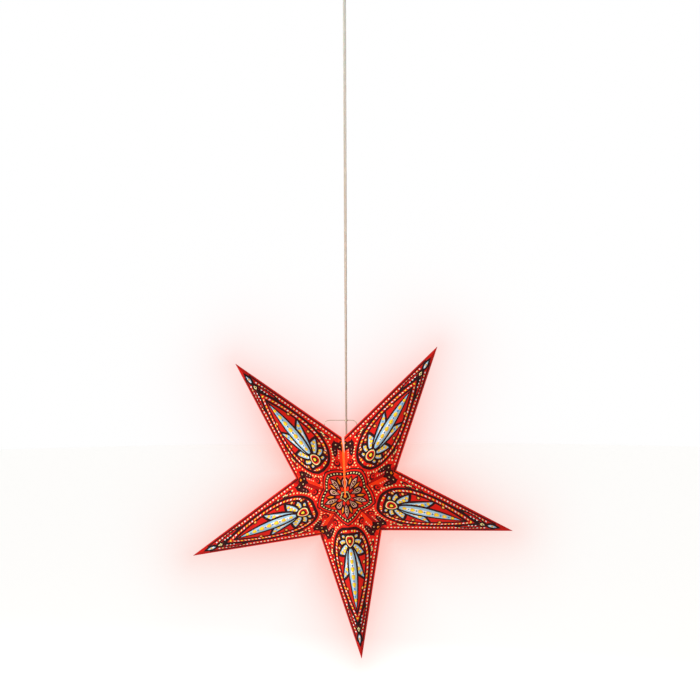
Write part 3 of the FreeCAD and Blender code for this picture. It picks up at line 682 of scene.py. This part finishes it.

# %% [markdown]
# ## Print on each point
#
# A print could be painted through a texture, but here it is cut out as geometry: each
# flat side is divided along the outlines of the drawing, so its edges stay sharp
# however near we come. The points keep the folds, glue tabs and punched holes of the
# frame: only the flat outer sides are taken off and laid again, piece by piece. Beside a
# valley a darker red strip of painted shade stands for the glue tab behind the paper on
# one side, and a brighter red strip of painted light lies on the other. Where the two upper
# points leave their seam open, a thin strip of painted glow lies at the bare paper edge.

# %% Lay the print on the flat sides
PLANE_TOLERANCE = 0.03 * MM
OPEN_SIDES = (("point_upper_right", 1), ("point_upper_left", -1))
EDGE_AT_HUB = 1.0
EDGE_AT_NOTCH = 0.6
PAST_NOTCH = 1.1
TAB_SHADE_SEEN = 11.0
PAINTED_LIGHT_SEEN = 8.0


def valley_strip(colour, begin, at_hub, at_notch):
    """A strip beside the valley, from a share of its length to the notch."""
    first = NOTCH * begin
    last = NOTCH * PAST_NOTCH
    return (colour, leftward([
        first, last, last + valley_inward * at_notch, first + valley_inward * at_hub,
    ]))


# Painted shade on the glue tab's side of each valley, painted light on the other.
tab_painted_shade_side = [valley_strip("painted_shade_red", -0.1, 2.0, TAB_SHADE_SEEN)]
painted_light_side = [valley_strip("painted_light_red", -0.1, PAINTED_LIGHT_SEEN, PAINTED_LIGHT_SEEN)]
# Painted light: a thin glowing strip of bare paper along the open seam.
painted_glow_edge = [valley_strip("inside", 0.1, EDGE_AT_HUB, EDGE_AT_NOTCH)]


def star_place(radius, heading, depth=0.0):
    """A place in the star, in metres, by radius, heading in degrees and depth, in mm."""
    angle = math.radians(heading + HANG_ANGLE)
    return (STAR_CENTRE + Vector((radius * math.cos(angle), depth, radius * math.sin(angle)))) * MM


def boundary_loops(faces):
    """The closed outlines of a patch of faces, each a list of vertices in order."""
    patch = set(faces)
    links = {}
    for face in faces:
        for loop in face.loops:
            shared = [other for other in loop.edge.link_faces if other in patch]
            if len(shared) == 1:
                links[loop.vert] = loop.link_loop_next.vert
    loops = []
    while links:
        first, here = links.popitem()
        loop = [first]
        while here is not first:
            loop.append(here)
            here = links.pop(here)
        loops.append(loop)
    return loops


def lay_print(made, origin, along, across, outward, shapes):
    """Replaces one flat side by pieces of these shapes. Returns how many it made."""
    side = [
        face for face in made.faces
        if face.normal.dot(outward) > 0.9
        and all(abs((v.co - origin).dot(outward)) < PLANE_TOLERANCE for v in face.verts)
    ]
    loops = boundary_loops(side)
    flat = [
        [Vector(((v.co - origin).dot(along), (v.co - origin).dot(across))) / MM for v in loop]
        for loop in loops
    ]
    flat = sorted((leftward(loop) for loop in flat), key=area, reverse=True)
    outlines = flat + [outline for colour, outline in shapes]
    points = []
    faces = []
    for outline in outlines:
        faces.append(list(range(len(points), len(points) + len(outline))))
        points.extend(outline)
    cut = delaunay_2d_cdt(points, [], faces, 1, 1e-4)
    places, triangles, sources = cut[0], cut[2], cut[5]
    bmesh.ops.delete(made, geom=side, context="FACES_ONLY")
    corners = [made.verts.new(origin + (along * p.x + across * p.y) * MM) for p in places]
    laid = 0
    for triangle, source in zip(triangles, sources):
        if 0 not in source or any(0 < index < len(flat) for index in source):
            continue
        top = max(source)
        colour = shapes[top - len(flat)][0] if top >= len(flat) else "red"
        face = made.faces.new([corners[index] for index in triangle])
        face.material_index = INK_NAMES.index(colour)
        laid += 1
        face.normal_update()
        if face.normal.dot(outward) < 0:
            face.normal_flip()
    return laid


def print_point(node_name, heading):
    made = bmesh.new()
    made.from_mesh(nodes[node_name].data)
    bmesh.ops.remove_doubles(made, verts=made.verts, dist=0.002 * MM)
    made.normal_update()
    for face in made.faces:
        face.material_index = 0
        face.smooth = False
    laid = 0
    for front in (-1, 1):
        for side in (-1, 1):
            hub = star_place(0, heading, front * HALF_DEPTH)
            tip = star_place(TIP_RADIUS, heading)
            notch = star_place(NOTCH_RADIUS, heading + side * HALF_POINT)
            along = (tip - hub).normalized()
            across = notch - hub
            across = (across - along * across.dot(along)).normalized()
            outward = along.cross(across)
            if outward.y * front < 0:
                outward = -outward
            shapes = (tab_painted_shade_side if side < 0 else painted_light_side) + drawing
            if (node_name, side) in OPEN_SIDES:
                shapes = painted_light_side + drawing + painted_glow_edge
            laid += lay_print(made, hub, along, across, outward, shapes)
    loose = [vertex for vertex in made.verts if not vertex.link_faces]
    bmesh.ops.delete(made, geom=loose, context="VERTS")
    bmesh.ops.remove_doubles(made, verts=made.verts, dist=0.004 * MM)
    mesh = bpy.data.meshes.new("printed_" + node_name)
    made.to_mesh(mesh)
    made.free()
    for name in INK_NAMES:
        mesh.materials.append(INKS[name])
    piece = bpy.data.objects.new("printed_" + node_name, mesh)
    bpy.context.scene.collection.objects.link(piece)
    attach(piece, "root")
    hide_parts(node_name)
    print(piece.name, "pieces of print:", laid, "faces:", len(mesh.polygons))
    return piece


printed = [print_point(name, heading) for name, heading in HEADINGS.items()]
print("printed points:", len(printed))

# %% [markdown]
# ## Wire, cotton and brass
#
# The hanger is drawn steel wire with a thin warm lacquer. The seam ties are twisted
# cotton. The screw shell and the contacts are drawn brass.

# %% Finish the small parts
DRAW_MARK_MM = 1.5
COTTON_PLY_MM = 8
BRASS_MARK_MM = 2
wire, wire_tree, wire_shader = new_material(
    "drawn_wire", Base_Color=linear("#B9A68C"), Metallic=1.0, Roughness=0.38,
)
wire_place = add(wire_tree, "TexCoord")
wire_marks = add(wire_tree, "TexNoise", {
    "Vector": wire_place.outputs["Object"], "Scale": noise_scale(DRAW_MARK_MM), "Detail": 4.0,
})
wire_rough = add(wire_tree, "MapRange", {
    "Value": wire_marks.outputs["Fac"], "To Min": 0.28, "To Max": 0.5,
})
wire_tree.links.new(wire_rough.outputs["Result"], wire_shader.inputs["Roughness"])
dress("hanger_wire", wire)

cotton, cotton_tree, cotton_shader = new_material(
    "twisted_cotton", Base_Color=linear("#E2D8C2"), Roughness=0.9, Sheen_Weight=0.3,
)
cotton_place = add(cotton_tree, "TexCoord")
cotton_plies = add(cotton_tree, "TexWave", {
    "Vector": cotton_place.outputs["Object"], "Scale": noise_scale(COTTON_PLY_MM), "Distortion": 2.0,
})
cotton_bump = add(cotton_tree, "Bump", {
    "Height": cotton_plies.outputs["Fac"], "Distance": 0.0002, "Strength": 0.7,
})
cotton_tree.links.new(cotton_bump.outputs["Normal"], cotton_shader.inputs["Normal"])
for name in ("seam_tie_front", "seam_tie_back"):
    dress(name, cotton)

brass, brass_tree, brass_shader = new_material(
    "drawn_brass", Base_Color=linear("#D9B25A"), Metallic=1.0, Roughness=0.3,
)
brass_place = add(brass_tree, "TexCoord")
brass_marks = add(brass_tree, "TexNoise", {
    "Vector": brass_place.outputs["Object"], "Scale": noise_scale(BRASS_MARK_MM), "Detail": 5.0,
})
brass_rough = add(brass_tree, "MapRange", {
    "Value": brass_marks.outputs["Fac"], "To Min": 0.2, "To Max": 0.42,
})
brass_tree.links.new(brass_rough.outputs["Result"], brass_shader.inputs["Roughness"])
for name in ("screw_shell", "centre_contact", "terminal_screws", "rose_terminal_screws"):
    dress(name, brass)
print("small parts dressed")

# %% [markdown]
# ## Lampholder, bulb and ceiling rose
#
# The lampholder and the rose are moulded in white urea plastic, which is hard, smooth
# and a little warm. The insert is fired steatite. The bulb is opal glass with the lamp
# lit: the paper sees it as a warm, orange light.

# %% Finish the electrical parts
MOULD_SKIN_MM = 1.2
STEATITE_GRAIN_MM = 0.8
PLATING_MARK_MM = 1
OPAL_CLOUD_MM = 20
moulded, moulded_tree, moulded_shader = new_material(
    "moulded_urea", Base_Color=linear("#ECE9E1"), Roughness=0.3, IOR=1.54,
)
moulded_place = add(moulded_tree, "TexCoord")
moulded_skin = add(moulded_tree, "TexNoise", {
    "Vector": moulded_place.outputs["Object"], "Scale": noise_scale(MOULD_SKIN_MM), "Detail": 2.0,
})
moulded_bump = add(moulded_tree, "Bump", {
    "Height": moulded_skin.outputs["Fac"], "Distance": 0.00003, "Strength": 0.3,
})
moulded_tree.links.new(moulded_bump.outputs["Normal"], moulded_shader.inputs["Normal"])
for name in (
    "lampholder_cord_grip", "lampholder_cap", "lampholder_shell", "rose_base", "rose_cover",
    "rose_cord_grip", "rose_terminal_block",
):
    dress(name, moulded)

steatite, steatite_tree, steatite_shader = new_material(
    "fired_steatite", Base_Color=linear("#E6DFD0"), Roughness=0.6, IOR=1.55,
)
steatite_place = add(steatite_tree, "TexCoord")
steatite_grain = add(steatite_tree, "TexNoise", {
    "Vector": steatite_place.outputs["Object"], "Scale": noise_scale(STEATITE_GRAIN_MM), "Detail": 5.0,
})
steatite_bump = add(steatite_tree, "Bump", {
    "Height": steatite_grain.outputs["Fac"], "Distance": 0.0001, "Strength": 0.4,
})
steatite_tree.links.new(steatite_bump.outputs["Normal"], steatite_shader.inputs["Normal"])
dress("lampholder_insert", steatite)

plated, plated_tree, plated_shader = new_material(
    "zinc_plated_steel", Base_Color=linear("#C6C8CA"), Metallic=1.0, Roughness=0.32,
)
plated_place = add(plated_tree, "TexCoord")
plated_marks = add(plated_tree, "TexNoise", {
    "Vector": plated_place.outputs["Object"], "Scale": noise_scale(PLATING_MARK_MM), "Detail": 4.0,
})
plated_rough = add(plated_tree, "MapRange", {
    "Value": plated_marks.outputs["Fac"], "To Min": 0.24, "To Max": 0.42,
})
plated_tree.links.new(plated_rough.outputs["Result"], plated_shader.inputs["Roughness"])
for name in ("rose_block_screws", "rose_side_screws"):
    dress(name, plated)

opal, opal_tree, opal_shader = new_material(
    "opal_glass", Base_Color=linear("#FFF4E2"), Roughness=0.18, IOR=1.5,
    Emission_Color=linear("#FFA050"), Emission_Strength=1.1,
)
opal_place = add(opal_tree, "TexCoord")
opal_cloud = add(opal_tree, "TexNoise", {
    "Vector": opal_place.outputs["Object"], "Scale": noise_scale(OPAL_CLOUD_MM), "Detail": 2.0,
})
opal_rough = add(opal_tree, "MapRange", {
    "Value": opal_cloud.outputs["Fac"], "To Min": 0.14, "To Max": 0.24,
})
opal_tree.links.new(opal_rough.outputs["Result"], opal_shader.inputs["Roughness"])
dress("bulb", opal)
print("electrical parts dressed")

# %% [markdown]
# ## The studio
#
# A plain pale floor far below, a white surround, and a card close behind the star. The
# card carries the soft red light that the lantern throws on a wall, painted by its
# distance from the star's outline. It is seen from the front only, and lights nothing.

# %% Paint the glow on the card
CARD_BEHIND = 30.0
CARD_HALF = 1500.0
CARD_STEPS = 170
GLOW_REACH = 64.0
GLOW_LEVEL = 0.78
GLOW_FADE = 460.0
GLOW_FAR_SHARE = 0.12


def star_outline():
    outline = []
    for heading in HEADINGS.values():
        for radius, extra in ((TIP_RADIUS, 0), (NOTCH_RADIUS, HALF_POINT)):
            angle = math.radians(heading + HANG_ANGLE + extra)
            outline.append(Vector((radius * math.cos(angle), radius * math.sin(angle))))
    return outline


def outline_distance(spot, outline):
    """How far a spot lies outside a closed outline, in mm, or 0 inside it."""
    inside = False
    nearest = 1e9
    for a, b in zip(outline, outline[1:] + outline[:1]):
        if (a.y > spot.y) != (b.y > spot.y):
            if spot.x < a.x + (spot.y - a.y) / (b.y - a.y) * (b.x - a.x):
                inside = not inside
        run = b - a
        share = min(1, max(0, (spot - a).dot(run) / run.length_squared))
        nearest = min(nearest, (spot - a - run * share).length)
    return 0.0 if inside else nearest


card_mesh = bpy.data.meshes.new("glow_card")
grid = bmesh.new()
bmesh.ops.create_grid(grid, x_segments=CARD_STEPS, y_segments=CARD_STEPS, size=CARD_HALF * MM)
card_y = STAR_CENTRE.y + HALF_DEPTH + CARD_BEHIND
card_centre = Vector((STAR_CENTRE.x, card_y, STAR_CENTRE.z)) * MM
upright = Matrix.Rotation(math.radians(90), 4, "X")
bmesh.ops.transform(grid, verts=grid.verts, matrix=Matrix.Translation(card_centre) @ upright)
grid.to_mesh(card_mesh)
grid.free()
glow = card_mesh.attributes.new("glow", "FLOAT", "POINT")
outline = star_outline()
to_star = (STAR_CENTRE.y - CAMERA_PLACE.y) / (card_y - CAMERA_PLACE.y)
for index, vertex in enumerate(card_mesh.vertices):
    seen_at = CAMERA_PLACE + (vertex.co / MM - CAMERA_PLACE) * to_star
    spot = Vector((seen_at.x - STAR_CENTRE.x, seen_at.z - STAR_CENTRE.z))
    away = outline_distance(spot, outline)
    from_hub = max(0, 1 - spot.length / GLOW_FADE)
    share = GLOW_FAR_SHARE + (1 - GLOW_FAR_SHARE) * from_hub
    glow.data[index].value = GLOW_LEVEL * math.exp(-away / GLOW_REACH) * share
card = bpy.data.objects.new("glow_card", card_mesh)
bpy.context.scene.collection.objects.link(card)

card_paint = bpy.data.materials.new("glow_on_wall")
card_paint.use_nodes = True
card_tree = card_paint.node_tree
card_tree.nodes.remove(card_tree.nodes["Principled BSDF"])
amount = add(card_tree, "Attribute", attribute_name="glow")
shine = add(card_tree, "Emission", {"Color": linear("#FF8C74"), "Strength": 1.0})
clear = add(card_tree, "BsdfTransparent")
seen = add(card_tree, "LightPath")
facing = add(card_tree, "NewGeometry")
front_only = add(card_tree, "Math", {0: 1.0, 1: facing.outputs["Backfacing"]}, operation="SUBTRACT")
to_eye = add(
    card_tree, "Math", {0: front_only.outputs["Value"], 1: seen.outputs["Is Camera Ray"]},
    operation="MULTIPLY",
)
shown = add(
    card_tree, "Math", {0: to_eye.outputs["Value"], 1: amount.outputs["Fac"]}, operation="MULTIPLY",
)
blend = add(card_tree, "MixShader", {
    0: shown.outputs["Value"], 1: clear.outputs["BSDF"], 2: shine.outputs["Emission"],
})
card_tree.links.new(blend.outputs["Shader"], card_tree.nodes["Material Output"].inputs["Surface"])
card_mesh.materials.append(card_paint)
print("card points:", len(card_mesh.vertices))

# %% [markdown]
# The floor is a wide pale disc. The world is white to the eye, and a calm grey to the
# object, so the inks keep their written colours.

# %% Floor, surround and lamps
FLOOR_LEVEL = -2.1
FLOOR_RADIUS = 14.0
FLOOR_LIFT = 0.56
STUDIO_LEVEL = 0.42
floor_mesh = bpy.data.meshes.new("floor")
floor_shape = bmesh.new()
bmesh.ops.create_circle(floor_shape, cap_ends=True, segments=96, radius=FLOOR_RADIUS)
bmesh.ops.translate(floor_shape, verts=floor_shape.verts, vec=(0, 0, FLOOR_LEVEL))
floor_shape.to_mesh(floor_mesh)
floor_shape.free()
floor = bpy.data.objects.new("floor", floor_mesh)
bpy.context.scene.collection.objects.link(floor)
pale, pale_tree, pale_shader = new_material(
    "pale_floor", Base_Color=linear("#F6F5F3"), Roughness=0.9, Emission_Color=linear("#FFFEFC"),
)
floor_path = add(pale_tree, "LightPath")
floor_lift = add(
    pale_tree, "Math", {0: floor_path.outputs["Is Camera Ray"], 1: FLOOR_LIFT}, operation="MULTIPLY",
)
pale_tree.links.new(floor_lift.outputs["Value"], pale_shader.inputs["Emission Strength"])
floor_mesh.materials.append(pale)

world = bpy.data.worlds.new("studio")
bpy.context.scene.world = world
world.use_nodes = True
world_tree = world.node_tree
sky = world_tree.nodes["Background"]
sky.inputs["Color"].default_value = (1, 1, 1, 1)
path = add(world_tree, "LightPath")
eye_or_mirror = add(
    world_tree, "Math", {0: path.outputs["Is Camera Ray"], 1: path.outputs["Is Glossy Ray"]},
    operation="MAXIMUM",
)
with_glass = add(
    world_tree, "Math", {0: eye_or_mirror.outputs["Value"], 1: path.outputs["Is Transmission Ray"]},
    operation="MAXIMUM",
)
brightness = add(world_tree, "MapRange", {
    "Value": with_glass.outputs["Value"], "To Min": STUDIO_LEVEL, "To Max": 1.0,
})
world_tree.links.new(brightness.outputs["Result"], sky.inputs["Strength"])


def area_lamp(name, place, aim, size, watts):
    lamp = bpy.data.lights.new(name, "AREA")
    lamp.shape = "DISK"
    lamp.size = size
    lamp.energy = watts
    holder = bpy.data.objects.new(name, lamp)
    bpy.context.scene.collection.objects.link(holder)
    holder.location = place
    holder.rotation_mode = "QUATERNION"
    holder.rotation_quaternion = (Vector(aim) - Vector(place)).to_track_quat("-Z", "Y")


aim = STAR_CENTRE * MM
area_lamp("key_left", (-1.8, -1.5, -0.3), aim, 1.2, 42)
area_lamp("fill_right", (1.9, -2.2, -0.6), aim, 1.6, 9)
area_lamp("back_soft", (0.6, 2.4, -0.2), aim, 1.8, 26)
bpy.context.scene.view_settings.view_transform = "Standard"
print("lamps: 3")

# %% Finish
print("scene built")
